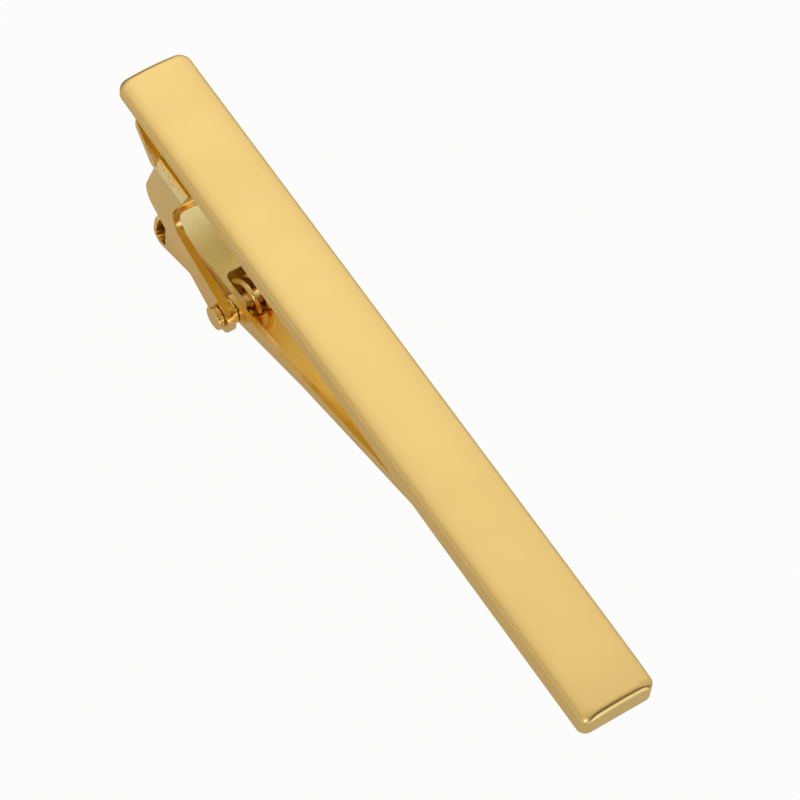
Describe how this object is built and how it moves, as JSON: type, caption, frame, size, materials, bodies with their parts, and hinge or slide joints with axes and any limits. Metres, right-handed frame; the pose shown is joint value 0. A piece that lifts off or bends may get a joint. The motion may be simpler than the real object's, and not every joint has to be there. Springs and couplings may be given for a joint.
{
  "type": "tie clip",
  "caption": "Spring tie clip: a crowned satin bar with a folded hinge bracket behind it and a sprung, hinged clamp arm that grips a tie.",
  "frame": {"origin": "behind the middle of the bar, level with the flat part of its back, against which the arm presses the cloth", "axes": "+X along the bar towards the gripping end, +Y across it, +Z out of the bar's front"},
  "size_m": [0.06, 0.007, 0.0162],
  "materials": {
    "satin_gold": "fine satin, gold coloured",
    "polished_gold": "polished, gold coloured",
    "spring_wire": "bright drawn wire, gold coloured"
  },
  "bodies": {
    "front": {"bar": "satin_gold", "hinge_bracket": "polished_gold", "pivot_pin": "polished_gold", "spacer_washer_near": "polished_gold", "spacer_washer_far": "polished_gold", "torsion_spring": "spring_wire"},
    "arm": {"clamp_arm": "polished_gold", "lever_plate": "polished_gold"}
  },
  "joints": [
    {"name": "arm_hinge", "type": "hinge", "parent": "front", "child": "arm", "pos_m": [-0.0153, 0, -0.00935], "axis": [0, 1, 0], "range_deg": [0, 22], "stiffness_Nm_per_rad": 0.0155, "springref_deg": -91.67, "deforming": ["torsion_spring"]}
  ]
}
